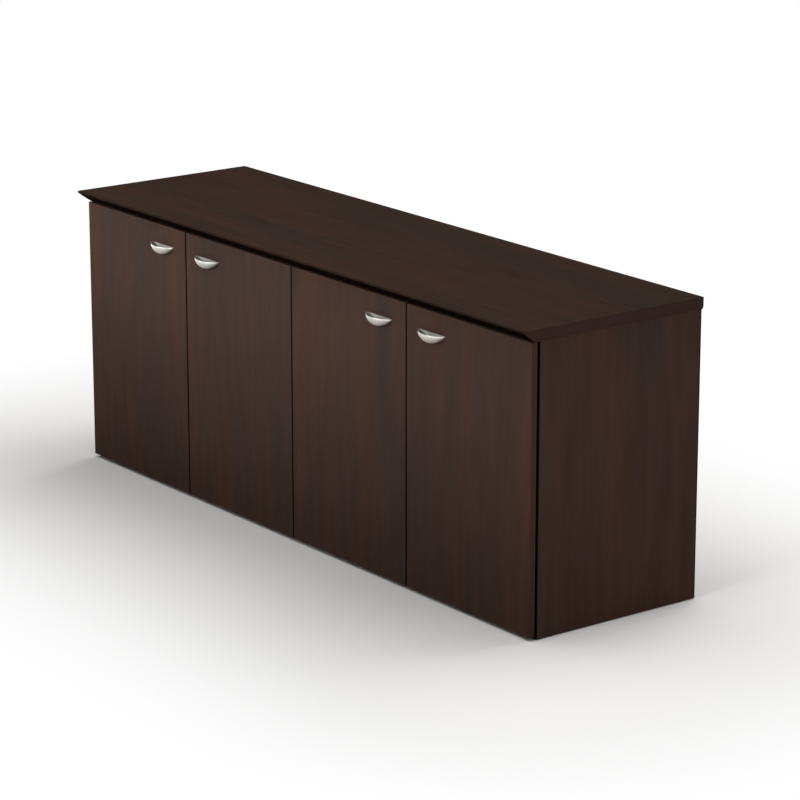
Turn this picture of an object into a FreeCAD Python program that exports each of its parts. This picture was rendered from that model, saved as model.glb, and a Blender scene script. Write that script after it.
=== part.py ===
import FreeCAD
import Part
import math
import os
from collections import namedtuple

# Office credenza: a long low cabinet with four hinged doors under an overhanging worktop.
# Millimetres. +X runs along the length, to the right as seen from the front, -Y is the front
# and +Z is up. The origin is on the floor, below the middle of the worktop.

Vector = FreeCAD.Vector

# ---- driving dimensions: worktop ----
top_width = 1829.0
top_depth = 525.0
top_thickness = 30.0
top_front_overhang = 28.0       # in front of the door faces
top_rear_overhang = 2.0
top_end_overhang = 4.5          # past each side panel
top_lip_height = 5.0            # upright face above the reverse bevel
top_bevel_past_door = 6.5       # the bevel ends this far behind the door faces
top_end_chamfer_run = 3.5
top_end_chamfer_rise = 8.0
edge_easing = 1.0               # radius on the veneered edges that a hand meets

# ---- driving dimensions: carcass ----
side_height = 691.0
side_thickness = 19.0
partition_thickness = 19.0
bottom_thickness = 19.0
bottom_height = 58.0            # from the side panels' lower ends to the bottom panel
top_rail_thickness = 19.0
top_rail_depth = 80.0
base_rail_thickness = 19.0
base_rail_setback = 20.0
back_thickness = 8.0
back_inset = 2.0
back_gap = 0.5                  # between the two back panels, and beside their outer edges
rebate_width = 9.5
notch_gap = 0.2                 # around the top rails, in the partition's notches
shelf_thickness = 19.0
shelf_side_gap = 1.0
shelf_front_setback = 25.0
shelf_rear_gap = 2.0

# ---- driving dimensions: doors ----
door_thickness = 16.0
door_back_gap = 4.0             # from the back of a door to the carcass
door_gap = 3.0                  # between neighbouring doors
door_reveal = 1.5               # the outer doors stop this far short of the side panels' faces
door_top_gap = 1.5
door_floor_gap = 9.0

# ---- driving dimensions: crescent pulls ----
pull_length = 95.0
pull_height = 22.5
pull_reach = 27.5               # how far a pull stands off its door
pull_wall = 2.2
pull_plate = 2.0
pull_tip_trim = 1.0             # cut off each pointed end
pull_from_free_edge = 98.0
pull_drop = 49.0                # from the top of the door to the pull's rim
pull_screw_spacing = 64.0
pull_screw_drop = 6.5           # from the rim
pull_boss_radius = 3.4
pull_boss_depth = 9.5
pull_screw_radius = 2.0
pull_screw_bite = 6.5
pull_screw_play = 0.2

# ---- driving dimensions: concealed hinges ----
# u runs across the door from its hinged edge, and v runs back from its face.
hinge_from_end = 100.0          # from the door's top or bottom edge to a hinge
cup_radius = 17.5
cup_from_edge = 4.0
cup_depth = 11.5
cup_wall = 0.8
cup_bore_gap = 0.1
flange_thickness = 1.2
flange_ring = 1.3
flange_from_edge = 9.0
flange_half_width = 10.0
flange_half_height = 29.0
cup_screw_spacing = 48.0
cup_screw_offset = 5.5          # from the cup's centre, away from the door's edge
cup_screw_radius = 1.75
cup_screw_bite = 9.5
cup_pin_in = 4.3                # from the cup's rim
cup_pin_sink = 4.8              # below the back of the door
cup_pin_radius = 1.25
cup_eye_radius = 2.5
cheek_from_middle = 7.5         # inside the cup, one each side of the link
cheek_metal = 2.0
cheek_reach = 2.8               # past the pin's middle
arm_pin_in = 25.0               # from the cup's rim
arm_pin_stand = 19.0            # behind the back of the door
arm_pin_radius = 1.5
arm_eye_radius = 3.2
pin_clearance = 0.08
link_half_width = 4.0
link_thickness = 1.8
link_bends = [(2.9, -3.0), (6.7, -3.8), (11.2, -1.2), (14.2, 4.8)]  # (u, v) from the cup pin
arm_play = 0.5                  # beside the link, between the arm's cheeks
arm_metal = 1.4
arm_nose = 4.0                  # past the pin, towards the door
arm_web_offset = 3.6            # from the pin to the inside of the arm's web
arm_tail = 64.0                 # from the pin to the arm's rear end
plate_line = 37.0               # from the front of the carcass to the plate's screws
plate_metal = 1.5
plate_half_height = 25.0
plate_half_depth = 8.0
plate_screw_spacing = 32.0
plate_screw_radius = 2.0
plate_screw_bite = 8.5
tower_before = 10.0             # in front of the plate's screws
tower_behind = 30.0
tower_play = 0.2
fixing_screw_behind = 16.0      # behind the plate's screws
fixing_screw_radius = 2.5
fixing_screw_bite = 8.0
adjusting_screw_radius = 2.0
adjusting_screw_bite = 5.0

# ---- driving dimensions: fasteners and small parts ----
hole_play = 0.05                # around a screw, pin or nail that is driven home
hole_end_gap = 0.3              # past the end of a screw, pin, nail or dowel
dowel_radius = 4.0
dowel_length = 30.0
dowel_in_face = 11.0            # the rest is in the end of the piece that it joins
dowel_glue_gap = 0.1
dowel_inset = 60.0              # from the ends of a row of dowels to the panel's edges
rail_dowel_spacing = 40.0
base_dowel_spacing = 29.0
top_screw_radius = 2.25
top_screw_bite = 16.0
top_screw_inset = 91.0          # from the side panels
top_screw_from_middle = 310.0
back_screw_radius = 1.75
back_screw_bite = 18.0
back_screw_spacing = 150.0
shelf_pin_radius = 2.5
shelf_pin_reach = 9.0
shelf_pin_collar_radius = 3.5
shelf_pin_collar = 0.8
shelf_hole_depth = 8.5
shelf_hole_play = 0.1
shelf_hole_pitch = 32.0
shelf_hole_count = 9
shelf_hole_row = 37.0           # from the front of the carcass and from the back panel
shelf_hole_start = 168.0        # from the bottom panel to the lowest hole
shelf_hole_used = 4             # counted from the lowest, which is 0
glide_height = 2.0
glide_radius = 8.5
glide_nail_radius = 1.5
glide_nail_length = 15.0
glide_from_end = 45.0
bumper_radius = 4.0
bumper_slack = 0.4
bumper_from_free_edge = 20.0

# ---- derived planes ----
tolerance = 0.01
carcass_half = top_width / 2 - top_end_overhang
side_inner = carcass_half - side_thickness
partition_half = partition_thickness / 2
top_underside = glide_height + side_height
top_surface = top_underside + top_thickness
top_front = -top_depth / 2
top_rear = top_depth / 2
door_face = top_front + top_front_overhang
door_back = door_face + door_thickness
door_bottom = door_floor_gap
door_top = top_underside - door_top_gap
door_width = (2 * carcass_half - 2 * door_reveal - 3 * door_gap) / 4
carcass_front = door_back + door_back_gap
carcass_rear = top_rear - top_rear_overhang
back_rear = carcass_rear - back_inset
back_front = back_rear - back_thickness
bottom_underside = glide_height + bottom_height
bottom_top = bottom_underside + bottom_thickness
bottom_middle = bottom_underside + bottom_thickness / 2
rail_underside = top_underside - top_rail_thickness
rail_middle = rail_underside + top_rail_thickness / 2
front_rail_rear = carcass_front + top_rail_depth
rear_rail_front = back_front - top_rail_depth
front_base_front = carcass_front + base_rail_setback
front_base_rear = front_base_front + base_rail_thickness
rear_base_front = back_rear - base_rail_thickness
pull_rim = door_top - pull_drop
pull_axis_height = (pull_reach ** 2 - pull_height ** 2) / (2 * pull_height)  # above the rim
hinge_heights = [door_bottom + hinge_from_end, door_top - hinge_from_end]
shelf_pin_height = bottom_top + shelf_hole_start + shelf_hole_used * shelf_hole_pitch
shelf_underside = shelf_pin_height + shelf_pin_radius

# ---- derived hinge sizes, as u and v ----
cup_u = cup_from_edge + cup_radius
cup_floor_v = door_thickness - cup_depth
cup_pin_u = cup_from_edge + cup_pin_in
cup_pin_v = door_thickness - cup_pin_sink
cup_pin_half_length = cheek_from_middle + cheek_metal
arm_pin_u = cup_from_edge + arm_pin_in
arm_pin_v = door_thickness + arm_pin_stand
arm_web_u = arm_pin_u + arm_web_offset
arm_half_inside = link_half_width + arm_play
arm_half_outside = arm_half_inside + arm_metal
plate_v = door_thickness + door_back_gap + plate_line

# ---- directions ----
left = Vector(-1, 0, 0)
right = Vector(1, 0, 0)
forward = Vector(0, -1, 0)
backward = Vector(0, 1, 0)
down = Vector(0, 0, -1)
up = Vector(0, 0, 1)

# A door's left edge, its hinged edge, the way from that edge into the door (+1 or -1 along X),
# and how far in from that edge the panel that carries its hinges has its face.
Door = namedtuple("Door", "name left_x hinge_x inward carrier_u")


def make_doors():
    on_side = side_thickness - door_reveal
    on_partition = partition_half - door_gap / 2
    plan = [
        ("far_left", 1, on_side),
        ("mid_left", -1, on_partition),
        ("mid_right", 1, on_partition),
        ("far_right", -1, on_side),
    ]
    made = []
    for place, (name, inward, carrier_u) in enumerate(plan):
        left_x = door_reveal - carcass_half + place * (door_width + door_gap)
        hinge_x = left_x if inward > 0 else left_x + door_width
        made.append(Door(name, left_x, hinge_x, inward, carrier_u))
    return made


doors = make_doors()
outer_doors = [doors[0], doors[3]]
inner_doors = [doors[1], doors[2]]


# ---- shapes that repeat ----
def box(x_ends, y_ends, z_ends):
    """A block between two values along each axis, given in either order."""
    low = [min(ends) for ends in (x_ends, y_ends, z_ends)]
    size = [abs(ends[1] - ends[0]) for ends in (x_ends, y_ends, z_ends)]
    return Part.makeBox(size[0], size[1], size[2], Vector(low[0], low[1], low[2]))


def rod(radius, start, way, length):
    return Part.makeCylinder(radius, length, start, way)


def joined(shapes):
    return shapes[0].fuse(shapes[1:]).removeSplitter()


def prism(points, sweep):
    return Part.Face(Part.makePolygon(points + points[:1])).extrude(sweep)


def eased(shape, wanted):
    """Rounds each straight edge for which wanted(first, last) is true."""
    edges = [e for e in shape.Edges if wanted(e.Vertexes[0].Point, e.Vertexes[-1].Point)]
    return shape.makeFillet(edge_easing, edges)


def holes(radius, points, way, length):
    return Part.makeCompound([rod(radius, point, way, length) for point in points])


def pan_screw(radius, start, way, length):
    """A pan-head screw with a cross slot: its head seats at start, and its shank goes along way."""
    head_radius = 2 * radius
    head_height = 1.2 * radius
    slot_width = 0.5 * radius
    head = Part.makeCylinder(head_radius, head_height, Vector(0, 0, -head_height))
    screw = joined([head, Part.makeCylinder(radius, length)])
    slot_depth = (-2 * head_height, -head_height / 2)
    across = (-head_radius / 2, head_radius / 2)
    narrow = (-slot_width / 2, slot_width / 2)
    screw = screw.cut(box(across, narrow, slot_depth)).cut(box(narrow, across, slot_depth))
    screw.Placement = FreeCAD.Placement(start, FreeCAD.Rotation(up, way))
    return screw


def export(name, shapes):
    whole = shapes[0] if len(shapes) == 1 else Part.makeCompound(shapes)
    whole.exportStep(os.path.join("parts", name + ".step"))


def spread(low, high, count):
    """Evenly spaced values from low to high, both included."""
    return [low + (high - low) * place / (count - 1) for place in range(count)]


# ---- dowels: each is the point where its two pieces meet, and the way into the end piece ----
def dowel_joints():
    middle_y = (carcass_front + back_front) / 2
    bottom_ys = spread(carcass_front + dowel_inset, back_front - dowel_inset, 4)
    partition_ys = spread(carcass_front + 2 * dowel_inset, back_front - 2 * dowel_inset, 3)
    rail_ys = [carcass_front + top_rail_depth / 2, back_front - top_rail_depth / 2]
    base_ys = [(front_base_front + front_base_rear) / 2, (rear_base_front + back_rear) / 2]
    base_middle = glide_height + bottom_height / 2
    joints = []
    for x, inward in ((-side_inner, right), (side_inner, left)):
        joints += [(Vector(x, y, bottom_middle), inward) for y in bottom_ys]
        for step in (-0.5, 0.5):
            joints += [(Vector(x, y + step * rail_dowel_spacing, rail_middle), inward) for y in rail_ys]
            z = base_middle + step * base_dowel_spacing
            joints += [(Vector(x, y, z), inward) for y in base_ys]
    joints += [(Vector(0, y, bottom_top), up) for y in partition_ys]
    joints += [(Vector(0, y, rail_underside), down) for y in rail_ys]
    for step in (-0.5, 0.5):
        joints.append((Vector(0, middle_y + step * dowel_inset, bottom_underside), down))
    return joints


def dowels():
    return [rod(dowel_radius, at - way * dowel_in_face, way, dowel_length) for at, way in dowel_joints()]


def dowel_holes():
    length = dowel_length + 2 * hole_end_gap
    starts = [(at - way * (dowel_in_face + hole_end_gap), way) for at, way in dowel_joints()]
    return Part.makeCompound([rod(dowel_radius + dowel_glue_gap, at, way, length) for at, way in starts])


# ---- screws that hold the worktop down, up through the top rails ----
def top_screw_points():
    xs = [side_inner - top_screw_inset, top_screw_from_middle]
    ys = [carcass_front + top_rail_depth / 2, back_front - top_rail_depth / 2]
    return [Vector(end * x, y, rail_underside) for end in (-1, 1) for x in xs for y in ys]


def top_screws():
    length = top_rail_thickness + top_screw_bite
    return [pan_screw(top_screw_radius, point, up, length) for point in top_screw_points()]


def top_screw_holes():
    length = top_rail_thickness + top_screw_bite + hole_end_gap
    return holes(top_screw_radius + hole_play, top_screw_points(), up, length)


# ---- screws that hold the back panels ----
def back_screw_points():
    middle_z = (bottom_top + rail_underside) / 2
    middle_x = side_inner / 2
    edge_xs = [partition_thickness / 4, side_inner + rebate_width / 2]
    points = []
    for end in (-1, 1):
        for step in (-1, 0, 1):
            offset = step * back_screw_spacing
            points += [Vector(end * x, back_rear, middle_z + offset) for x in edge_xs]
            points += [Vector(end * (middle_x + offset), back_rear, z) for z in (bottom_middle, rail_middle)]
    return points


def back_screws():
    length = back_thickness + back_screw_bite
    return [pan_screw(back_screw_radius, point, forward, length) for point in back_screw_points()]


def back_screw_holes():
    length = back_thickness + back_screw_bite + hole_end_gap
    return holes(back_screw_radius + hole_play, back_screw_points(), forward, length)


# ---- shelf pins and their rows of holes ----
def shelf_hole_places():
    """The x of each wall with shelf holes, the way out of it, and the y of each row."""
    walls = [(-side_inner, right), (-partition_half, left), (partition_half, right), (side_inner, left)]
    rows = [carcass_front + shelf_hole_row, back_front - shelf_hole_row]
    return [(x, out, y) for x, out in walls for y in rows]


def shelf_pin_holes():
    lowest = bottom_top + shelf_hole_start
    drilled = []
    for x, out, y in shelf_hole_places():
        points = [Vector(x, y, lowest + place * shelf_hole_pitch) for place in range(shelf_hole_count)]
        drilled.append(holes(shelf_pin_radius + shelf_hole_play, points, -out, shelf_hole_depth))
    return Part.makeCompound(drilled)


def shelf_pins():
    pins = []
    for x, out, y in shelf_hole_places():
        seat = Vector(x, y, shelf_pin_height)
        inner_length = shelf_hole_depth - hole_end_gap
        shank = rod(shelf_pin_radius, seat - out * inner_length, out, inner_length + shelf_pin_reach)
        pins.append(joined([shank, rod(shelf_pin_collar_radius, seat, out, shelf_pin_collar)]))
    return pins


# ---- hinges: places in u and v, turned into the cabinet's own X and Y for one door ----
def hinge_point(door, u, v, z):
    return Vector(door.hinge_x + door.inward * u, door_face + v, z)


def hinge_box(door, u_ends, v_ends, z_ends):
    xs = [door.hinge_x + door.inward * u for u in u_ends]
    ys = [door_face + v for v in v_ends]
    return box(xs, ys, z_ends)


def hinge_rod(door, radius, u, v, z, half_length):
    return rod(radius, hinge_point(door, u, v, z - half_length), up, 2 * half_length)


def into_carrier(door):
    return left if door.inward > 0 else right


def cup_screw_points(door, z):
    v = door_thickness + flange_thickness
    return [hinge_point(door, cup_u + cup_screw_offset, v, z + s * cup_screw_spacing) for s in (-0.5, 0.5)]


def cup_cheeks(door, z):
    """Two ears that stand on the cup's floor and hold the ends of its pin."""
    u_ends = (cup_pin_u - cheek_reach, cup_pin_u + cheek_reach)
    v_ends = (cup_floor_v, cup_pin_v + cheek_reach)
    lower_z = (z - cup_pin_half_length, z - cheek_from_middle)
    upper_z = (z + cheek_from_middle, z + cup_pin_half_length)
    return [hinge_box(door, u_ends, v_ends, z_ends) for z_ends in (lower_z, upper_z)]


def hinge_cup(door, z):
    """A pressed cup let into the door, with a flange that carries its two screws."""
    flange_v = (door_thickness, door_thickness + flange_thickness)
    flange_z = (z - flange_half_height, z + flange_half_height)
    wing_u = cup_u + cup_screw_offset
    bowl = rod(cup_radius, hinge_point(door, cup_u, cup_floor_v, z), backward, cup_depth)
    rim = hinge_point(door, cup_u, door_thickness, z)
    ring = rod(cup_radius + flange_ring, rim, backward, flange_thickness)
    wings = hinge_box(door, (wing_u - flange_half_width, wing_u + flange_half_width), flange_v, flange_z)
    far_u = cup_from_edge + 2 * (cup_radius + flange_ring)
    flange = ring.fuse(wings).common(hinge_box(door, (flange_from_edge, far_u), flange_v, flange_z))
    hollow_start = hinge_point(door, cup_u, cup_floor_v + cup_wall, z)
    hollow = rod(cup_radius - cup_wall, hollow_start, backward, cup_depth + flange_thickness)
    cup = bowl.fuse(flange).cut(hollow)
    cup = joined([cup] + [cheek.common(bowl) for cheek in cup_cheeks(door, z)])
    cup = cup.cut(hinge_rod(door, cup_pin_radius + hole_play, cup_pin_u, cup_pin_v, z, cup_radius))
    screw_radius = cup_screw_radius + hole_play
    cup = cup.cut(holes(screw_radius, cup_screw_points(door, z), forward, flange_thickness))
    return cup.removeSplitter()


def cup_pin(door, z):
    return hinge_rod(door, cup_pin_radius, cup_pin_u, cup_pin_v, z, cup_pin_half_length)


def cup_screws(door):
    length = flange_thickness + cup_screw_bite
    points = [point for z in hinge_heights for point in cup_screw_points(door, z)]
    return [pan_screw(cup_screw_radius, point, forward, length) for point in points]


def link_strip(door, start, end, z):
    """One straight run of a link: a thin upright plate between two (u, v) points."""
    run_u = end[0] - start[0]
    run_v = end[1] - start[1]
    half = link_thickness / 2 / math.hypot(run_u, run_v)
    corners = []
    for u, v, side in (start + (1,), end + (1,), end + (-1,), start + (-1,)):
        corner = hinge_point(door, u - side * half * run_v, v + side * half * run_u, z - link_half_width)
        corners.append(corner)
    return prism(corners, up * (2 * link_half_width))


def hinge_link(door, z):
    """A bent strip with an eye at each end, which reaches round the door's edge into the cup."""
    cup_pin_at = (cup_pin_u, cup_pin_v)
    arm_pin_at = (arm_pin_u, arm_pin_v)
    bends = [(cup_pin_u + u, cup_pin_v + v) for u, v in link_bends]
    path = [cup_pin_at] + bends + [arm_pin_at]
    pieces = [link_strip(door, start, end, z) for start, end in zip(path, path[1:])]
    pieces += [hinge_rod(door, link_thickness / 2, u, v, z, link_half_width) for u, v in bends]
    eyes = ((cup_pin_at, cup_eye_radius, cup_pin_radius), (arm_pin_at, arm_eye_radius, arm_pin_radius))
    pieces += [hinge_rod(door, eye, u, v, z, link_half_width) for (u, v), eye, _ in eyes]
    link = joined(pieces)
    for (u, v), _, pin in eyes:
        link = link.cut(hinge_rod(door, pin + pin_clearance, u, v, z, 2 * link_half_width))
    return link


def arm_screw_point(door, v, z):
    return hinge_point(door, arm_web_u + arm_metal, v, z)


def arm_screw_holes(door, z):
    """The holes for an arm's fixing and adjusting screws, through its web and into the plate."""
    fixing = arm_screw_point(door, plate_v + fixing_screw_behind, z)
    adjusting = arm_screw_point(door, plate_v, z)
    way = into_carrier(door)
    fixing_length = arm_metal + fixing_screw_bite + hole_end_gap
    adjusting_length = arm_metal + adjusting_screw_bite + hole_end_gap
    fixing_hole = rod(fixing_screw_radius + hole_play, fixing, way, fixing_length)
    adjusting_hole = rod(adjusting_screw_radius + hole_play, adjusting, way, adjusting_length)
    return Part.makeCompound([fixing_hole, adjusting_hole])


def hinge_arm(door, z):
    """A channel whose cheeks hold the link's pin, screwed down on the tower of its plate."""
    v_ends = (arm_pin_v - arm_nose, arm_pin_v + arm_tail)
    whole_u = (arm_pin_u - arm_nose, arm_web_u + arm_metal)
    hollow_u = (arm_pin_u - 2 * arm_nose, arm_web_u)
    arm = hinge_box(door, whole_u, v_ends, (z - arm_half_outside, z + arm_half_outside))
    arm = arm.cut(hinge_box(door, hollow_u, v_ends, (z - arm_half_inside, z + arm_half_inside)))
    pin_hole = hinge_rod(door, arm_pin_radius + hole_play, arm_pin_u, arm_pin_v, z, 2 * arm_half_outside)
    return arm.cut(pin_hole).cut(arm_screw_holes(door, z))


def arm_pin(door, z):
    return hinge_rod(door, arm_pin_radius, arm_pin_u, arm_pin_v, z, arm_half_outside)


def plate_screw_points(door, z):
    u = door.carrier_u + plate_metal
    return [hinge_point(door, u, plate_v, z + step * plate_screw_spacing) for step in (-0.5, 0.5)]


def hinge_plate(door, z):
    """A base screwed to the carcass, with a tower that carries the arm."""
    base_u = (door.carrier_u, door.carrier_u + plate_metal)
    base_v = (plate_v - plate_half_depth, plate_v + plate_half_depth)
    base = hinge_box(door, base_u, base_v, (z - plate_half_height, z + plate_half_height))
    tower_half = arm_half_inside - tower_play
    tower_v = (plate_v - tower_before, plate_v + tower_behind)
    tower = hinge_box(door, (door.carrier_u, arm_web_u), tower_v, (z - tower_half, z + tower_half))
    plate = joined([base, tower]).cut(arm_screw_holes(door, z))
    radius = plate_screw_radius + hole_play
    return plate.cut(holes(radius, plate_screw_points(door, z), into_carrier(door), plate_metal))


def plate_screws():
    length = plate_metal + plate_screw_bite
    screws = []
    for door in doors:
        points = [point for z in hinge_heights for point in plate_screw_points(door, z)]
        screws += [pan_screw(plate_screw_radius, point, into_carrier(door), length) for point in points]
    return screws


def plate_screw_holes():
    length = plate_metal + plate_screw_bite + hole_end_gap
    drilled = []
    for door in doors:
        points = [point for z in hinge_heights for point in plate_screw_points(door, z)]
        drilled.append(holes(plate_screw_radius + hole_play, points, into_carrier(door), length))
    return Part.makeCompound(drilled)


def arm_screws(radius, v, bite):
    length = arm_metal + bite
    places = [(door, arm_screw_point(door, v, z)) for door in doors for z in hinge_heights]
    return [pan_screw(radius, point, into_carrier(door), length) for door, point in places]


# ---- worktop ----
def top_panel():
    bevel_rear = door_face + top_bevel_past_door
    outline = [
        (top_front, top_surface),
        (top_front, top_surface - top_lip_height),
        (bevel_rear, top_underside),
        (top_rear, top_underside),
        (top_rear, top_surface),
    ]
    slab = prism([Vector(-top_width / 2, y, z) for y, z in outline], right * top_width)
    chamfer_top = top_underside + top_end_chamfer_rise
    for end in (-1, 1):
        corner_x = end * top_width / 2
        wedge = [
            Vector(corner_x - end * top_end_chamfer_run, top_front, top_underside),
            Vector(corner_x, top_front, chamfer_top),
            Vector(corner_x + end * top_end_chamfer_run, top_front, top_underside),
        ]
        slab = slab.cut(prism(wedge, backward * top_depth))

    def on_surface(first, last):
        return min(first.z, last.z) > top_surface - tolerance

    return eased(slab, on_surface).cut(top_screw_holes())


# ---- carcass ----
def side_panel(end):
    outline_x = (end * side_inner, end * carcass_half)
    panel = box(outline_x, (carcass_front, carcass_rear), (glide_height, top_underside))

    def full_height(first, last):
        return abs(first.z - last.z) > side_height - tolerance

    panel = eased(panel, full_height)
    rebate_x = (end * side_inner, end * (side_inner + rebate_width))
    panel = panel.cut(box(rebate_x, (back_front, carcass_rear), (bottom_underside, top_underside)))
    panel = panel.cut(dowel_holes()).cut(shelf_pin_holes()).cut(plate_screw_holes())
    return panel.cut(back_screw_holes()).cut(glide_nail_holes())


def centre_partition():
    across = (-partition_half, partition_half)
    panel = box(across, (carcass_front, back_front), (bottom_top, top_underside))
    front_notch = (carcass_front, front_rail_rear + notch_gap)
    rear_notch = (rear_rail_front - notch_gap, back_front)
    for notch in (front_notch, rear_notch):
        panel = panel.cut(box(across, notch, (rail_underside, top_underside)))
    panel = panel.cut(dowel_holes()).cut(shelf_pin_holes()).cut(plate_screw_holes())
    return panel.cut(back_screw_holes())


def bottom_panel():
    panel = box((-side_inner, side_inner), (carcass_front, back_front), (bottom_underside, bottom_top))
    return panel.cut(dowel_holes()).cut(back_screw_holes())


def top_rail(y_ends):
    rail = box((-side_inner, side_inner), y_ends, (rail_underside, top_underside))
    return rail.cut(dowel_holes()).cut(top_screw_holes()).cut(back_screw_holes())


def base_rail(y_ends):
    rail = box((-side_inner, side_inner), y_ends, (glide_height, bottom_underside))
    return rail.cut(dowel_holes())


def centre_base_rail():
    across = (-partition_half, partition_half)
    rail = box(across, (front_base_rear, rear_base_front), (glide_height, bottom_underside))
    return rail.cut(dowel_holes()).cut(glide_nail_holes())


def back_panel(end):
    x_ends = (end * back_gap / 2, end * (side_inner + rebate_width - back_gap / 2))
    return box(x_ends, (back_front, back_rear), (bottom_underside, top_underside)).cut(back_screw_holes())


def shelf(end):
    x_ends = (end * (partition_half + shelf_side_gap), end * (side_inner - shelf_side_gap))
    y_ends = (carcass_front + shelf_front_setback, back_front - shelf_rear_gap)
    return box(x_ends, y_ends, (shelf_underside, shelf_underside + shelf_thickness))


# ---- glides under the side panels and the centre base rail ----
def glide_points():
    side_x = carcass_half - side_thickness / 2
    side_ys = [carcass_front + glide_from_end, carcass_rear - glide_from_end]
    middle_ys = [front_base_rear + glide_from_end, rear_base_front - glide_from_end]
    points = [Vector(x, y, 0) for x in (-side_x, side_x) for y in side_ys]
    return points + [Vector(0, y, 0) for y in middle_ys]


def floor_glides():
    glides = []
    for point in glide_points():
        pad = rod(glide_radius, point, up, glide_height)
        nail = rod(glide_nail_radius, point, up, glide_height + glide_nail_length)
        glides.append(joined([pad, nail]))
    return glides


def glide_nail_holes():
    length = glide_height + glide_nail_length + hole_end_gap
    return holes(glide_nail_radius + hole_play, glide_points(), up, length)


# ---- bumpers on the carcass, near each door's free edge ----
def door_bumpers():
    bumpers = []
    for door in doors:
        x = door.hinge_x + door.inward * (door_width - bumper_from_free_edge)
        for z in (bottom_middle, rail_middle):
            start = Vector(x, carcass_front, z)
            bumpers.append(rod(bumper_radius, start, forward, door_back_gap - bumper_slack))
    return bumpers


# ---- doors and their pulls ----
def pull_x(door):
    return door.hinge_x + door.inward * (door_width - pull_from_free_edge)


def pull_screw_points(door, y):
    z = pull_rim - pull_screw_drop
    return [Vector(pull_x(door) + step * pull_screw_spacing, y, z) for step in (-0.5, 0.5)]


def door_panel(door):
    panel = box((door.left_x, door.left_x + door_width), (door_face, door_back), (door_bottom, door_top))
    panel = panel.makeFillet(edge_easing, panel.Edges)
    cup_hole_depth = cup_depth + cup_bore_gap
    screw_hole_depth = flange_thickness + cup_screw_bite + hole_end_gap
    for z in hinge_heights:
        mouth = hinge_point(door, cup_u, door_thickness, z)
        panel = panel.cut(rod(cup_radius + cup_bore_gap, mouth, forward, cup_hole_depth))
        points = cup_screw_points(door, z)
        panel = panel.cut(holes(cup_screw_radius + hole_play, points, forward, screw_hole_depth))
    points = pull_screw_points(door, door_back)
    return panel.cut(holes(pull_screw_radius + pull_screw_play, points, forward, door_thickness))


def crescent(centre, half_length, height):
    """A circle's segment that hangs from its chord, turned forward round an axis above that chord."""
    start = centre + left * half_length
    end = centre + right * half_length
    arc = Part.Arc(start, centre + down * height, end).toShape()
    chord = Part.LineSegment(end, start).toShape()
    return Part.Face(Part.Wire([arc, chord])).revolve(centre + up * pull_axis_height, left, 90)


def pull(door):
    """A hollow crescent, open at the top, with a plate that lies against the door."""
    centre = Vector(pull_x(door), door_face, pull_rim)
    half_length = pull_length / 2 + pull_tip_trim
    arc_radius = (half_length ** 2 + pull_height ** 2) / (2 * pull_height)
    inner_half_length = math.sqrt((arc_radius - pull_wall) ** 2 - (arc_radius - pull_height) ** 2)
    across = (centre.x - pull_length / 2, centre.x + pull_length / 2)
    upright = (centre.z - pull_height, centre.z)
    outer_room = box(across, (centre.y - pull_reach, centre.y), upright)
    inner_room = box(across, (centre.y - pull_reach, centre.y - pull_plate), upright)
    outer = crescent(centre, half_length, pull_height).common(outer_room)
    pocket = crescent(centre, inner_half_length, pull_height - pull_wall).common(inner_room)
    points = pull_screw_points(door, door_face)
    bosses = [rod(pull_boss_radius, point, forward, pull_boss_depth).common(outer) for point in points]
    body = joined([outer.cut(pocket)] + bosses)
    screw_hole_depth = pull_screw_bite + hole_end_gap
    return body.cut(holes(pull_screw_radius + hole_play, points, forward, screw_hole_depth))


def pull_screws(door):
    length = door_thickness + pull_screw_bite
    points = pull_screw_points(door, door_back)
    return [pan_screw(pull_screw_radius, point, forward, length) for point in points]


# ---- the files ----
def export_carcass():
    export("top_panel", [top_panel()])
    export("left_side_panel", [side_panel(-1)])
    export("right_side_panel", [side_panel(1)])
    export("centre_partition", [centre_partition()])
    export("bottom_panel", [bottom_panel()])
    export("front_top_rail", [top_rail((carcass_front, front_rail_rear))])
    export("rear_top_rail", [top_rail((rear_rail_front, back_front))])
    export("front_base_rail", [base_rail((front_base_front, front_base_rear))])
    export("rear_base_rail", [base_rail((rear_base_front, back_rear))])
    export("centre_base_rail", [centre_base_rail()])
    export("left_back_panel", [back_panel(-1)])
    export("right_back_panel", [back_panel(1)])
    export("left_shelf", [shelf(-1)])
    export("right_shelf", [shelf(1)])
    export("shelf_pins", shelf_pins())
    export("panel_dowels", dowels())
    export("top_screws", top_screws())
    export("back_screws", back_screws())
    export("floor_glides", floor_glides())
    export("door_bumpers", door_bumpers())


def export_hinge_carriers():
    for place, group in (("outer", outer_doors), ("inner", inner_doors)):
        export(place + "_hinge_arms", [hinge_arm(door, z) for door in group for z in hinge_heights])
        export(place + "_hinge_plates", [hinge_plate(door, z) for door in group for z in hinge_heights])
    export("hinge_arm_pins", [arm_pin(door, z) for door in doors for z in hinge_heights])
    export("hinge_plate_screws", plate_screws())
    fixing_v = plate_v + fixing_screw_behind
    export("hinge_fixing_screws", arm_screws(fixing_screw_radius, fixing_v, fixing_screw_bite))
    export("hinge_adjusting_screws", arm_screws(adjusting_screw_radius, plate_v, adjusting_screw_bite))


def export_door(door):
    export(door.name + "_door", [door_panel(door)])
    export(door.name + "_pull", [pull(door)])
    export(door.name + "_pull_screws", pull_screws(door))
    export(door.name + "_hinge_cups", [hinge_cup(door, z) for z in hinge_heights])
    export(door.name + "_cup_pins", [cup_pin(door, z) for z in hinge_heights])
    export(door.name + "_cup_screws", cup_screws(door))
    export(door.name + "_hinge_links", [hinge_link(door, z) for z in hinge_heights])


os.makedirs("parts", exist_ok=True)
export_carcass()
export_hinge_carriers()
for door in doors:
    export_door(door)
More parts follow.
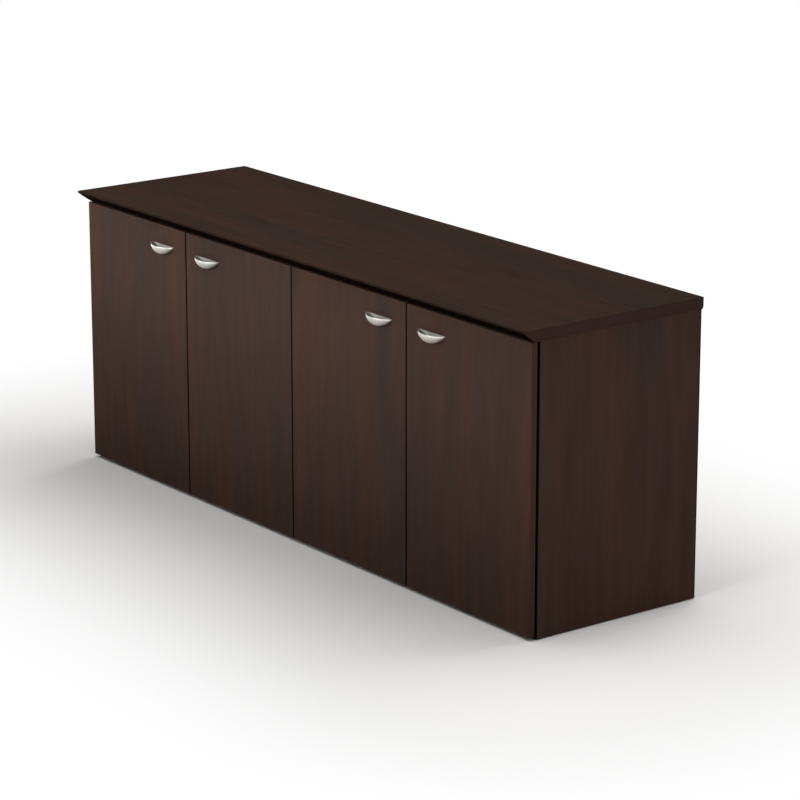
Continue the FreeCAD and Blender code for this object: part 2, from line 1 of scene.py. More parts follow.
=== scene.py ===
"""Office credenza: the finishes, the added trim, the stage and the camera around the fixed frame."""
import math

import bmesh
import bpy
from bpy.props import FloatProperty, FloatVectorProperty, PointerProperty
from mathutils import Matrix, Vector


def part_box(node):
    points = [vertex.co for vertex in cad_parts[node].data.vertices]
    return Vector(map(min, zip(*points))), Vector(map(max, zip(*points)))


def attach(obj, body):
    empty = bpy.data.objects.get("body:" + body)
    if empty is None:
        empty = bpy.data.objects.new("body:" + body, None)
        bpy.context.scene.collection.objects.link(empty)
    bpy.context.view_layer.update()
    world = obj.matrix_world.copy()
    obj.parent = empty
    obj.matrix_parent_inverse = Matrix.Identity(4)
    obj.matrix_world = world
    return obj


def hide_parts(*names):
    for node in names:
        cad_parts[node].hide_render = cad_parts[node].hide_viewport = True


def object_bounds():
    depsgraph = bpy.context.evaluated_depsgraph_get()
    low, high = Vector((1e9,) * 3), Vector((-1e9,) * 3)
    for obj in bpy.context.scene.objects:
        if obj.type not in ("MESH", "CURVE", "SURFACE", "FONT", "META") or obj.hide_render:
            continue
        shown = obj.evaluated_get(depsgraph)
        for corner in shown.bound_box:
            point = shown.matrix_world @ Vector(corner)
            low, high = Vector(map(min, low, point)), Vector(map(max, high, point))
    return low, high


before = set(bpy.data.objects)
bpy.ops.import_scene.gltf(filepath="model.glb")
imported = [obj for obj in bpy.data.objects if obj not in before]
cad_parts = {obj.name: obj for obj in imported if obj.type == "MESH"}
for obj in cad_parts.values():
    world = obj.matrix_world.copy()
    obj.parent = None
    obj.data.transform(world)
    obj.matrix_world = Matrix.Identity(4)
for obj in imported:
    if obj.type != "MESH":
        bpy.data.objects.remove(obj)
cad_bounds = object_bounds()  # the part's own box, taken before anything is added

bl_info = {
    "name": "Office Credenza",
    "version": (1, 0, 0),
    "blender": (4, 5, 0),
    "location": "3D View > Sidebar > Credenza",
    "description": "Veneers, metal finishes, edge bands and a studio for a four-door office credenza",
    "category": "Object",
}

MM = 0.001
DOORS = ("far_left", "mid_left", "mid_right", "far_right")
CREASE_ANGLE = math.radians(35)  # a new piece's faces that meet at more than this keep a sharp edge
NOISE_LOW, NOISE_HIGH = 0.3, 0.7  # a noise texture lies almost wholly between these
SQUARE_ON = 0.8  # cosine past which a face counts as square to an axis
LEANING = 0.3  # cosine past which a face counts as leaning towards an axis
WELD = 0.002 * MM  # vertices nearer to each other than this are one


# ---- colour and node helpers ----
def linear(code):
    """An sRGB hex colour such as '#4a3830' as linear red, green and blue."""
    channels = [int(code[place:place + 2], 16) / 255 for place in (1, 3, 5)]
    return tuple(c / 12.92 if c <= 0.04045 else ((c + 0.055) / 1.055) ** 2.4 for c in channels)


def add(tree, kind, settings=None, inputs=None):
    """Adds a node with its own settings, and with values or links on its inputs."""
    node = tree.nodes.new(kind)
    for name, value in (settings or {}).items():
        setattr(node, name, value)
    for name, value in (inputs or {}).items():
        if isinstance(value, bpy.types.NodeSocket):
            tree.links.new(value, node.inputs[name])
        else:
            node.inputs[name].default_value = value
    return node


def rgba(colour):
    return (colour[0], colour[1], colour[2], 1.0)


def new_material(name):
    material = bpy.data.materials.new(name)
    material.use_nodes = True
    tree = material.node_tree
    shader = tree.nodes["Principled BSDF"]
    return material, tree, shader


def finish_nodes(names, material):
    """Gives CAD nodes their finish; their meshes stay as they are."""
    for name in names:
        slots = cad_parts[name].data.materials
        slots.clear()
        slots.append(material)


def new_piece(name, mesh_builder, material, body):
    """Makes an object from a bmesh, gives it its finish and lets it ride on a body."""
    mesh = bpy.data.meshes.new(name)
    bmesh.ops.recalc_face_normals(mesh_builder, faces=mesh_builder.faces)
    mesh_builder.to_mesh(mesh)
    mesh_builder.free()
    piece = bpy.data.objects.new(name, mesh)
    bpy.context.scene.collection.objects.link(piece)
    mesh.shade_smooth()
    mesh.set_sharp_from_angle(angle=CREASE_ANGLE)
    mesh.materials.append(material)
    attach(piece, body)
    return piece


def shown_directly(tree):
    """1 on rays from the camera, off metal and through clear bodies; 0 on rays that carry light."""
    rays = add(tree, "ShaderNodeLightPath").outputs
    shown = rays["Is Camera Ray"]
    for kind in ("Is Glossy Ray", "Is Transmission Ray"):
        shown = add(tree, "ShaderNodeMath", {"operation": "MAXIMUM"},
                    {0: shown, 1: rays[kind]}).outputs[0]
    return shown


# ---- sizes and colours that a user would change ----
class CredenzaVeneer(bpy.types.PropertyGroup):
    ground: FloatVectorProperty(
        name="Ground stain", description="Colour between the grain lines", subtype="COLOR",
        default=linear("#3c2c26"), min=0.0, max=1.0)
    pore: FloatVectorProperty(
        name="Pores", description="Colour of the stain that has settled in the pores", subtype="COLOR",
        default=linear("#2c201b"), min=0.0, max=1.0)
    cool_figure: FloatVectorProperty(
        name="Cool figure", description="Multiplies the stain where the figure is grey-brown",
        default=(0.80, 0.95, 1.05), min=0.0, max=2.0)
    warm_figure: FloatVectorProperty(
        name="Warm figure", description="Multiplies the stain where the figure is red-brown",
        default=(1.26, 1.05, 0.88), min=0.0, max=2.0)
    top_ground: FloatVectorProperty(
        name="Worktop stain", description="Ground colour of the worktop's veneer", subtype="COLOR",
        default=linear("#2f231e"), min=0.0, max=1.0)
    interior_ground: FloatVectorProperty(
        name="Interior", description="Ground colour of the laminate on the boards inside",
        subtype="COLOR", default=linear("#58453b"), min=0.0, max=1.0)
    end_tint: FloatVectorProperty(
        name="End tint", description="Multiplies the stain on the worktop's end edges",
        default=(1.68, 1.42, 1.44), min=0.0, max=3.0)
    lip_tint: FloatVectorProperty(
        name="Lip tint", description="Multiplies the stain on the worktop's front lip",
        default=(0.60, 0.60, 0.60), min=0.0, max=2.0)
    # The reverse bevel's tint is painted shade under the worktop's overhang.
    bevel_painted_shade: FloatVectorProperty(
        name="Bevel tint", description="Multiplies the stain on the worktop's reverse bevel",
        default=(0.14, 0.12, 0.12), min=0.0, max=2.0)
    contrast: FloatProperty(
        name="Contrast", description="Strength of the figure and streaks on the doors and sides",
        default=0.8, min=0.0, max=1.5)
    top_contrast: FloatProperty(
        name="Worktop contrast", description="Strength of the figure and streaks on the worktop",
        default=0.6, min=0.0, max=1.5)
    interior_contrast: FloatProperty(
        name="Interior contrast", description="Strength of the figure and streaks inside",
        default=1.0, min=0.0, max=1.5)
    figure_width: FloatProperty(
        name="Figure width", description="Width of one band of the grain's figure",
        default=110 * MM, min=10 * MM, max=300 * MM, subtype="DISTANCE", unit="LENGTH")
    figure_length: FloatProperty(
        name="Figure length", description="Length of one band of the grain's figure",
        default=900 * MM, min=100 * MM, max=3.0, subtype="DISTANCE", unit="LENGTH")
    streak_width: FloatProperty(
        name="Streak width", description="Width of a streak of grain within the figure",
        default=24 * MM, min=1 * MM, max=60 * MM, subtype="DISTANCE", unit="LENGTH")
    streak_length: FloatProperty(
        name="Streak length", description="Length of a streak of grain",
        default=260 * MM, min=20 * MM, max=1.0, subtype="DISTANCE", unit="LENGTH")
    streak_depth: FloatProperty(
        name="Streak depth", description="How much darker the streaks are than the figure, as a share",
        default=0.22, min=0.0, max=0.6, subtype="FACTOR")
    pore_width: FloatProperty(
        name="Pore width",
        description="Width of a pore, drawn coarser than the real 0.2 mm so that it shows",
        default=0.9 * MM, min=0.2 * MM, max=3 * MM, subtype="DISTANCE", unit="LENGTH")
    pore_length: FloatProperty(
        name="Pore length", description="Length of a pore",
        default=14 * MM, min=2 * MM, max=60 * MM, subtype="DISTANCE", unit="LENGTH")
    lacquer: FloatProperty(
        name="Lacquer", description="Share of the lacquer's full shine on doors, sides and interior",
        default=0.10, min=0.0, max=1.0, subtype="FACTOR")
    top_lacquer: FloatProperty(
        name="Worktop lacquer", description="Share of the lacquer's full shine on the worktop",
        default=0.02, min=0.0, max=1.0, subtype="FACTOR")
    roughness: FloatProperty(
        name="Lacquer roughness", description="How dull the satin lacquer is",
        default=0.46, min=0.05, max=1.0, subtype="FACTOR")


class CredenzaMetal(bpy.types.PropertyGroup):
    nickel: FloatVectorProperty(
        name="Satin nickel", description="Colour of the crescent pulls", subtype="COLOR",
        default=linear("#c2beb8"), min=0.0, max=1.0)
    # The scoop's darker colour is painted shade in the pull's hollow.
    scoop: FloatVectorProperty(
        name="Scoop", description="Colour of the blasted nickel inside the pulls", subtype="COLOR",
        default=linear("#878480"), min=0.0, max=1.0)
    hinge_steel: FloatVectorProperty(
        name="Nickelled steel", description="Colour of the hinges and shelf pins", subtype="COLOR",
        default=linear("#c6c6c4"), min=0.0, max=1.0)
    zinc: FloatVectorProperty(
        name="Zinc plate", description="Colour of the screws", subtype="COLOR",
        default=linear("#b4b6ba"), min=0.0, max=1.0)


class CredenzaTrim(bpy.types.PropertyGroup):
    carcass_proud: FloatProperty(
        name="Carcass band",
        description="How far a carcass board's edge band stands out in front of it or behind it",
        default=0.5 * MM, min=0.2 * MM, max=2 * MM, subtype="DISTANCE", unit="LENGTH")
    carcass_wrap: FloatProperty(
        name="Carcass band width",
        description="Width of a carcass edge band seen from the board's side",
        default=2.6 * MM, min=0.5 * MM, max=5 * MM, subtype="DISTANCE", unit="LENGTH")
    door_proud: FloatProperty(
        name="Door band", description="How far a door's edge band stands out beside it",
        default=0.2 * MM, min=0.1 * MM, max=1 * MM, subtype="DISTANCE", unit="LENGTH")
    door_wrap: FloatProperty(
        name="Door band width", description="Width of a door's edge band seen from the front",
        default=1.4 * MM, min=0.5 * MM, max=5 * MM, subtype="DISTANCE", unit="LENGTH")
    band_skin: FloatProperty(
        name="Band skin", description="How far an edge band stands out over its board's faces",
        default=0.06 * MM, min=0.02 * MM, max=0.5 * MM, subtype="DISTANCE", unit="LENGTH")
    band_round: FloatProperty(
        name="Band rounding", description="Radius along an edge band's edges",
        default=0.3 * MM, min=0.1 * MM, max=1.5 * MM, subtype="DISTANCE", unit="LENGTH")
    bumper_dome: FloatProperty(
        name="Bumper dome", description="Share of a bumper's height that is domed",
        default=0.6, min=0.1, max=1.0, subtype="FACTOR")


class CredenzaPull(bpy.types.PropertyGroup):
    lip: FloatProperty(
        name="Lip", description="Thickness of the casting at its rolled lip",
        default=2.2 * MM, min=1 * MM, max=4 * MM, subtype="DISTANCE", unit="LENGTH")
    lip_growth: FloatProperty(
        name="Lip growth", description="How much thicker the lip is at the pointed ends, as a share",
        default=1.5, min=0.0, max=3.0)
    plate: FloatProperty(
        name="Plate", description="Thickness of the plate against the door",
        default=1 * MM, min=0.5 * MM, max=4 * MM, subtype="DISTANCE", unit="LENGTH")
    tip_trim: FloatProperty(
        name="Tip trim", description="Length cut off each pointed end",
        default=1 * MM, min=0.2 * MM, max=5 * MM, subtype="DISTANCE", unit="LENGTH")
    belly: FloatProperty(
        name="Belly", description="How far out from the door the lowest point of the pull lies",
        default=9 * MM, min=2 * MM, max=15 * MM, subtype="DISTANCE", unit="LENGTH")
    heel: FloatProperty(
        name="Heel", description="Share of the height by which the underside rises towards the door",
        default=0.3, min=0.0, max=0.6, subtype="FACTOR")
    scoop_depth: FloatProperty(
        name="Scoop depth", description="Depth of the finger scoop in the middle",
        default=17 * MM, min=5 * MM, max=19 * MM, subtype="DISTANCE", unit="LENGTH")
    scoop_taper: FloatProperty(
        name="Scoop taper",
        description="How fast the scoop rises towards its ends, over the screw bosses",
        default=2.5, min=2.4, max=6.0)
    bowl_squareness: FloatProperty(
        name="Bowl squareness", description="Exponent of the scoop's cross-section: 2 is an ellipse",
        default=2.6, min=2.0, max=6.0)


class CredenzaStudio(bpy.types.PropertyGroup):
    floor: FloatVectorProperty(
        name="Floor", description="Colour of the studio floor", subtype="COLOR",
        default=linear("#f2f0ee"), min=0.0, max=1.0)
    camera_place: FloatVectorProperty(
        name="Camera place", description="Where the camera stands",
        default=(6.3503, -4.7209, 2.5476), subtype="TRANSLATION", unit="LENGTH")
    camera_azimuth: FloatProperty(
        name="Camera azimuth", description="Turn of the view from straight ahead",
        default=math.radians(52.839), subtype="ANGLE", unit="ROTATION")
    camera_elevation: FloatProperty(
        name="Camera elevation", description="How far the view looks down",
        default=math.radians(15.726), subtype="ANGLE", unit="ROTATION")
    lens: FloatProperty(
        name="Lens", description="Focal length on a 36 mm sensor in millimetres",
        default=150.28, min=20, max=400)
    sky_level: FloatProperty(
        name="Sky level", description="Strength of the light from all round",
        default=0.20, min=0, max=4)
    back_power: FloatProperty(
        name="Back power", description="Watts of the large softbox high behind the cabinet",
        default=147, min=0, max=2000)
    top_power: FloatProperty(
        name="Top power", description="Watts of the softbox over the worktop",
        default=56, min=0, max=2000)
    front_power: FloatProperty(
        name="Front power", description="Watts of the softbox high in front of the doors",
        default=5.0, min=0, max=2000)
    door_power: FloatProperty(
        name="Door power", description="Watts of the gridded strip that faces the doors' upper part",
        default=4.0, min=0, max=2000)
    left_door_power: FloatProperty(
        name="Left door power", description="Watts of the gridded strip that faces the left doors",
        default=1.0, min=0, max=2000)
    side_power: FloatProperty(
        name="Side power", description="Watts of the softbox high to the right",
        default=6.2, min=0, max=2000)
    edge_power: FloatProperty(
        name="Edge power", description="Watts of the gridded strip that faces the right side",
        default=0.4, min=0, max=2000)
    floor_power: FloatProperty(
        name="Floor power",
        description="Watts of the gridded softbox that faces the floor at the right corner",
        default=0.3, min=0, max=2000)
    pull_power: FloatProperty(
        name="Pull power",
        description="Watts of the gridded strip that rakes along the doors from the left",
        default=1.2, min=0, max=2000)
    shadow_start: FloatProperty(
        name="Shadow start",
        description="Distance from the cabinet where the floor starts to fade to white",
        default=0.0, min=0.0, max=5.0, subtype="DISTANCE", unit="LENGTH")
    shadow_end: FloatProperty(
        name="Shadow end", description="Distance from the cabinet where the floor is plain white",
        default=1.0, min=0.1, max=10.0, subtype="DISTANCE", unit="LENGTH")


# ---- wood finishes ----
def grain_space(tree, along):
    """Object coordinates as across, depth, along, so that every pattern runs with the grain."""
    place = add(tree, "ShaderNodeTexCoord").outputs["Object"]
    axes = add(tree, "ShaderNodeSeparateXYZ", inputs={"Vector": place})
    order = {"X": ("Y", "Z", "X"), "Y": ("X", "Z", "Y"), "Z": ("X", "Y", "Z")}[along]
    named = dict(zip("XYZ", [axes.outputs[name] for name in order]))
    return add(tree, "ShaderNodeCombineXYZ", inputs=named).outputs["Vector"]


def scaled(tree, vector, width, length, shift=0.0):
    """Turns metres into pattern widths across the grain and pattern lengths along it."""
    return add(tree, "ShaderNodeMapping", inputs={
        "Vector": vector,
        "Location": (shift, shift, shift),
        "Scale": (1 / width, 1 / width, 1 / length),
    }).outputs["Vector"]


def stained_veneer(name, along, end_along, ground, veneer, lacquer, contrast):
    """Sliced walnut veneer, stained dark under satin lacquer.

    It gives bands of figure, streaks of grain and sunken pores, with little shine. Faces square
    to the grain are edge-banded, so there the grain turns to end_along."""
    material, tree, shader = new_material(name)
    main = grain_space(tree, along)
    banded = grain_space(tree, end_along)
    normal = add(tree, "ShaderNodeTexCoord").outputs["Normal"]
    facing = add(tree, "ShaderNodeSeparateXYZ", inputs={"Vector": normal})
    square = add(tree, "ShaderNodeMath", {"operation": "ABSOLUTE"},
                 {0: facing.outputs[along]}).outputs[0]
    is_end = add(tree, "ShaderNodeMath", {"operation": "GREATER_THAN"},
                 {0: square, 1: SQUARE_ON}).outputs[0]
    space = add(tree, "ShaderNodeMix", {"data_type": "VECTOR"},
                {"Factor": is_end, 4: main, 5: banded}).outputs[1]

    # Streaks and pores are shifted, so that they don't line up with the figure.
    figure = add(tree, "ShaderNodeTexNoise", inputs={
        "Vector": scaled(tree, space, veneer.figure_width, veneer.figure_length),
        "Scale": 1.0, "Detail": 3.0, "Roughness": 0.55, "Distortion": 0.4}).outputs["Fac"]
    streaks = add(tree, "ShaderNodeTexNoise", inputs={
        "Vector": scaled(tree, space, veneer.streak_width, veneer.streak_length, shift=3.7),
        "Scale": 1.0, "Detail": 4.0, "Roughness": 0.6}).outputs["Fac"]
    pores = add(tree, "ShaderNodeTexNoise", inputs={
        "Vector": scaled(tree, space, veneer.pore_width, veneer.pore_length, shift=9.1),
        "Scale": 1.0, "Detail": 1.0, "Roughness": 0.5}).outputs["Fac"]

    figure_tone = add(tree, "ShaderNodeValToRGB", inputs={"Fac": figure})
    ramp = figure_tone.color_ramp
    figures = ((0.35, veneer.cool_figure), (0.65, veneer.warm_figure))
    for element, (position, tint) in zip(ramp.elements, figures):
        element.position = position
        element.color = rgba([part * (1 + contrast * (t - 1)) for part, t in zip(ground, tint)])
    ramp.elements.new(0.5).color = rgba(ground)

    # A light streak departs less from the figure than a dark one does.
    darkening = veneer.streak_depth * contrast
    lightening = 0.7 * darkening
    streak_tone = add(tree, "ShaderNodeMapRange", inputs={
        "Value": streaks, "From Min": NOISE_LOW, "From Max": NOISE_HIGH,
        "To Min": 1 - darkening, "To Max": 1 + lightening}).outputs["Result"]
    streaked = add(tree, "ShaderNodeVectorMath", {"operation": "SCALE"},
                   {0: figure_tone.outputs["Color"], "Scale": streak_tone}).outputs["Vector"]
    # Only the noise's peaks are pores, and a pore's stain covers at most 0.3 of the wood.
    pore_mask = add(tree, "ShaderNodeMapRange", inputs={
        "Value": pores, "From Min": 0.60, "From Max": 0.72,
        "To Min": 0.0, "To Max": 0.30}).outputs["Result"]
    pored = add(tree, "ShaderNodeMix", {"data_type": "RGBA"},
                {"Factor": pore_mask, 6: streaked, 7: rgba(veneer.pore)}).outputs[2]
    tree.links.new(pored, shader.inputs["Base Color"])

    # The dark streaks are the duller ones.
    dullness = add(tree, "ShaderNodeMapRange", inputs={
        "Value": streaks, "From Min": NOISE_LOW, "From Max": NOISE_HIGH,
        "To Min": 0.85, "To Max": 0.75}).outputs["Result"]
    tree.links.new(dullness, shader.inputs["Roughness"])
    relief = add(tree, "ShaderNodeBump", {"invert": True}, {
        "Height": pore_mask, "Strength": 0.35, "Distance": 0.1 * MM}).outputs["Normal"]
    tree.links.new(relief, shader.inputs["Normal"])
    # Only the lacquer shines, and not the wood under it.
    shader.inputs["IOR"].default_value = 1.5
    shader.inputs["Specular IOR Level"].default_value = 0.0
    shader.inputs["Coat Weight"].default_value = lacquer
    shader.inputs["Coat Roughness"].default_value = veneer.roughness
    return material


def stain_and_shade_worktop_edges(material, veneer):
    """Tints the stain on the worktop's ends and front lip, and paints shade on the reverse bevel.

    The bevel's painted shade is nearly black, so the worktop seems to float over the doors."""
    tree = material.node_tree
    shader = tree.nodes["Principled BSDF"]
    normal = add(tree, "ShaderNodeTexCoord").outputs["Normal"]
    facing = add(tree, "ShaderNodeSeparateXYZ", inputs={"Vector": normal}).outputs
    sideways = add(tree, "ShaderNodeMath", {"operation": "ABSOLUTE"}, {0: facing["X"]}).outputs[0]
    is_end = add(tree, "ShaderNodeMath", {"operation": "GREATER_THAN"},
                 {0: sideways, 1: SQUARE_ON}).outputs[0]
    is_front = add(tree, "ShaderNodeMath", {"operation": "LESS_THAN"},
                   {0: facing["Y"], 1: -LEANING}).outputs[0]
    is_under = add(tree, "ShaderNodeMath", {"operation": "LESS_THAN"},
                   {0: facing["Z"], 1: -LEANING}).outputs[0]
    is_bevel = add(tree, "ShaderNodeMath", {"operation": "MULTIPLY"},
                   {0: is_front, 1: is_under}).outputs[0]
    is_lip = add(tree, "ShaderNodeMath", {"operation": "SUBTRACT"},
                 {0: is_front, 1: is_bevel}).outputs[0]
    colour = shader.inputs["Base Color"].links[0].from_socket
    # The bevel's tint paints shade; the end and lip tints change the stain.
    tints = ((is_end, veneer.end_tint), (is_lip, veneer.lip_tint), (is_bevel, veneer.bevel_painted_shade))
    for where, tint in tints:
        colour = add(tree, "ShaderNodeMix", {"data_type": "RGBA", "blend_type": "MULTIPLY"},
                     {"Factor": where, 6: colour, 7: rgba(tint)}).outputs[2]
    tree.links.new(colour, shader.inputs["Base Color"])


# ---- metal, board and plastic finishes ----
def satin_nickel(metal):
    """Die-cast zinc, brushed lengthwise and nickel-plated: faint scratches, soft warm grey sheen."""
    material, tree, shader = new_material("satin_nickel")
    # The scratches are drawn coarser than the real 0.1 mm so that they show.
    scratch_width, scratch_length = 0.5 * MM, 18 * MM
    space = scaled(tree, grain_space(tree, "X"), scratch_width, scratch_length)
    brush = add(tree, "ShaderNodeTexNoise", inputs={
        "Vector": space, "Scale": 1.0, "Detail": 2.0}).outputs["Fac"]
    tone = add(tree, "ShaderNodeMapRange", inputs={
        "Value": brush, "From Min": NOISE_LOW, "From Max": NOISE_HIGH,
        "To Min": 0.94, "To Max": 1.03}).outputs["Result"]
    colour = add(tree, "ShaderNodeVectorMath", {"operation": "SCALE"},
                 {0: tuple(metal.nickel), "Scale": tone}).outputs["Vector"]
    tree.links.new(colour, shader.inputs["Base Color"])
    dullness = add(tree, "ShaderNodeMapRange", inputs={
        "Value": brush, "From Min": NOISE_LOW, "From Max": NOISE_HIGH,
        "To Min": 0.50, "To Max": 0.60}).outputs["Result"]
    tree.links.new(dullness, shader.inputs["Roughness"])
    relief = add(tree, "ShaderNodeBump", inputs={
        "Height": brush, "Strength": 0.15, "Distance": 0.05 * MM}).outputs["Normal"]
    tree.links.new(relief, shader.inputs["Normal"])
    shader.inputs["Metallic"].default_value = 1.0
    return material


def plated_metal(name, colour, bright, dull):
    """Metal with a plated skin: smooth, with slight clouding where the plating varies."""
    material, tree, shader = new_material(name)
    cloud_size = 6 * MM
    place = add(tree, "ShaderNodeTexCoord").outputs["Object"]
    clouds = add(tree, "ShaderNodeTexNoise", inputs={
        "Vector": place, "Scale": 1 / cloud_size, "Detail": 3.0}).outputs["Fac"]
    tone = add(tree, "ShaderNodeMapRange", inputs={
        "Value": clouds, "From Min": NOISE_LOW, "From Max": NOISE_HIGH,
        "To Min": 0.90, "To Max": 1.04}).outputs["Result"]
    shade = add(tree, "ShaderNodeVectorMath", {"operation": "SCALE"},
                {0: tuple(colour), "Scale": tone}).outputs["Vector"]
    tree.links.new(shade, shader.inputs["Base Color"])
    dullness = add(tree, "ShaderNodeMapRange", inputs={
        "Value": clouds, "From Min": NOISE_LOW, "From Max": NOISE_HIGH,
        "To Min": bright, "To Max": dull}).outputs["Result"]
    tree.links.new(dullness, shader.inputs["Roughness"])
    shader.inputs["Metallic"].default_value = 1.0
    return material


def painted_back_board():
    """Thin fibreboard, painted dark: fine mottled fibres and almost no shine."""
    material, tree, shader = new_material("painted_back_board")
    fibre_size = 3 * MM
    place = add(tree, "ShaderNodeTexCoord").outputs["Object"]
    fibres = add(tree, "ShaderNodeTexNoise", inputs={
        "Vector": place, "Scale": 1 / fibre_size, "Detail": 5.0, "Roughness": 0.65}).outputs["Fac"]
    tone = add(tree, "ShaderNodeValToRGB", inputs={"Fac": fibres})
    tone.color_ramp.elements[0].position = NOISE_LOW
    tone.color_ramp.elements[0].color = rgba(linear("#2e231e"))
    tone.color_ramp.elements[1].position = NOISE_HIGH
    tone.color_ramp.elements[1].color = rgba(linear("#43342c"))
    tree.links.new(tone.outputs["Color"], shader.inputs["Base Color"])
    relief = add(tree, "ShaderNodeBump", inputs={
        "Height": fibres, "Strength": 0.2, "Distance": 0.1 * MM}).outputs["Normal"]
    tree.links.new(relief, shader.inputs["Normal"])
    shader.inputs["Roughness"].default_value = 0.75
    shader.inputs["Specular IOR Level"].default_value = 0.3
    return material


def seam_shade_edge_band():
    """Plastic edge band with a printed grain; its dull near black is painted shade, so seams read as
    dark lines.
    """
    material, tree, shader = new_material("seam_shade_edge_band")
    line_width, line_length = 0.8 * MM, 40 * MM
    space = scaled(tree, grain_space(tree, "Z"), line_width, line_length)
    lines = add(tree, "ShaderNodeTexNoise", inputs={
        "Vector": space, "Scale": 1.0, "Detail": 2.0}).outputs["Fac"]
    tone = add(tree, "ShaderNodeValToRGB", inputs={"Fac": lines})
    # Near-black colour: painted shade for the seams.
    tone.color_ramp.elements[0].color = rgba(linear("#070606"))
    tone.color_ramp.elements[1].color = rgba(linear("#100d0c"))
    tree.links.new(tone.outputs["Color"], shader.inputs["Base Color"])
    relief = add(tree, "ShaderNodeBump", inputs={
        "Height": lines, "Strength": 0.2, "Distance": 0.05 * MM}).outputs["Normal"]
    tree.links.new(relief, shader.inputs["Normal"])
    shader.inputs["Roughness"].default_value = 0.6
    shader.inputs["Specular IOR Level"].default_value = 0.0
    return material


def turned_beech():
    """Bare turned beech: pale pinkish tan with small darker flecks."""
    material, tree, shader = new_material("turned_beech")
    fleck_size = 1.5 * MM
    place = add(tree, "ShaderNodeTexCoord").outputs["Object"]
    flecks = add(tree, "ShaderNodeTexNoise", inputs={
        "Vector": place, "Scale": 1 / fleck_size, "Detail": 3.0}).outputs["Fac"]
    tone = add(tree, "ShaderNodeValToRGB", inputs={"Fac": flecks})
    tone.color_ramp.elements[0].color = rgba(linear("#a97b52"))
    tone.color_ramp.elements[1].color = rgba(linear("#d9b68c"))
    tree.links.new(tone.outputs["Color"], shader.inputs["Base Color"])
    shader.inputs["Roughness"].default_value = 0.7
    return material


def moulded_nylon():
    """Black moulded nylon: a fine spark-eroded grain that breaks up its soft shine."""
    material, tree, shader = new_material("moulded_nylon")
    grit_size = 0.8 * MM  # drawn coarser than the real 0.1 mm so that it shows
    place = add(tree, "ShaderNodeTexCoord").outputs["Object"]
    grit = add(tree, "ShaderNodeTexNoise", inputs={
        "Vector": place, "Scale": 1 / grit_size, "Detail": 2.0}).outputs["Fac"]
    tone = add(tree, "ShaderNodeValToRGB", inputs={"Fac": grit})
    tone.color_ramp.elements[0].color = rgba(linear("#161514"))
    tone.color_ramp.elements[1].color = rgba(linear("#262423"))
    tree.links.new(tone.outputs["Color"], shader.inputs["Base Color"])
    relief = add(tree, "ShaderNodeBump", inputs={
        "Height": grit, "Strength": 0.3, "Distance": 0.05 * MM}).outputs["Normal"]
    tree.links.new(relief, shader.inputs["Normal"])
    shader.inputs["Roughness"].default_value = 0.5
    shader.inputs["IOR"].default_value = 1.53
    return material


def clear_polyurethane():
    """Cast polyurethane: milky clear, soft and slightly cloudy inside."""
    material, tree, shader = new_material("clear_polyurethane")
    haze_size = 2 * MM
    place = add(tree, "ShaderNodeTexCoord").outputs["Object"]
    haze = add(tree, "ShaderNodeTexNoise", inputs={
        "Vector": place, "Scale": 1 / haze_size, "Detail": 2.0}).outputs["Fac"]
    tone = add(tree, "ShaderNodeValToRGB", inputs={"Fac": haze})
    tone.color_ramp.elements[0].color = rgba(linear("#b9b6ae"))
    tone.color_ramp.elements[1].color = rgba(linear("#dedbd4"))
    tree.links.new(tone.outputs["Color"], shader.inputs["Base Color"])
    shader.inputs["Roughness"].default_value = 0.25
    shader.inputs["IOR"].default_value = 1.5
    shader.inputs["Transmission Weight"].default_value = 0.6
    return material


# ---- operators: one for each group of pieces ----
class CREDENZA_OT_worktop(bpy.types.Operator):
    """Veneer the bevelled worktop, with its grain along the cabinet"""
    bl_idname = "credenza.worktop"
    bl_label = "Worktop"

    def execute(self, context):
        veneer = context.scene.credenza_veneer
        finish = stained_veneer(
            "worktop_walnut_veneer", along="X", end_along="Y", ground=veneer.top_ground, veneer=veneer,
            lacquer=veneer.top_lacquer, contrast=veneer.top_contrast)
        stain_and_shade_worktop_edges(finish, veneer)
        finish_nodes(["top_panel"], finish)
        return {"FINISHED"}


class CREDENZA_OT_doors(bpy.types.Operator):
    """Veneer the four doors and both side panels, with upright grain"""
    bl_idname = "credenza.doors"
    bl_label = "Doors and side panels"

    def execute(self, context):
        veneer = context.scene.credenza_veneer
        finish = stained_veneer(
            "door_walnut_veneer", along="Z", end_along="X", ground=veneer.ground, veneer=veneer,
            lacquer=veneer.lacquer, contrast=veneer.contrast)
        finish_nodes([door + "_door" for door in DOORS], finish)
        finish_nodes(["left_side_panel", "right_side_panel"], finish)
        return {"FINISHED"}


class CREDENZA_OT_interior(bpy.types.Operator):
    """Laminate the boards inside, and paint the back panels"""
    bl_idname = "credenza.interior"
    bl_label = "Interior boards and back"

    def execute(self, context):
        veneer = context.scene.credenza_veneer
        laminate = {"ground": veneer.interior_ground, "veneer": veneer, "lacquer": veneer.lacquer,
                    "contrast": veneer.interior_contrast}
        upright = stained_veneer("interior_laminate_upright", along="Z", end_along="X", **laminate)
        lengthwise = stained_veneer(
            "interior_laminate_lengthwise", along="X", end_along="Y", **laminate)
        finish_nodes(["centre_partition"], upright)
        finish_nodes(["front_top_rail", "rear_top_rail", "front_base_rail", "rear_base_rail",
                      "centre_base_rail", "bottom_panel", "left_shelf", "right_shelf"], lengthwise)
        finish_nodes(["left_back_panel", "right_back_panel"], painted_back_board())
        return {"FINISHED"}


